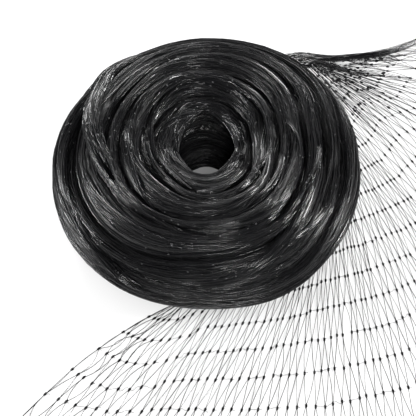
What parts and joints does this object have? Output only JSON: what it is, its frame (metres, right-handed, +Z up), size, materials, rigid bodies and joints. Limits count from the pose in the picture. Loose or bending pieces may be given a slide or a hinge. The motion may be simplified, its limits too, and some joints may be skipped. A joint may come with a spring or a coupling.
{
  "type": "bird netting roll",
  "caption": "Wound hank of fine black knotted bird netting around an open middle, its gathered end and one loose corner of diamond mesh spread flat on the floor.",
  "frame": {"origin": "middle of the underside's bounding box, on the floor", "axes": "+Z up; +Y from the front of the roll to its back; +X from the roll towards the spread net"},
  "size_m": [0.3506, 0.435, 0.11],
  "materials": {
    "wound_twine": "glossy black nylon monofilament, drawn into ropes",
    "gathered_twine": "glossy black nylon monofilament, gathered",
    "knotted_net": "black nylon monofilament in knotted diamond mesh"
  },
  "bodies": {
    "root": {"wound_roll": "wound_twine", "gathered_tail": "gathered_twine", "loose_net": "knotted_net"}
  },
  "joints": []
}
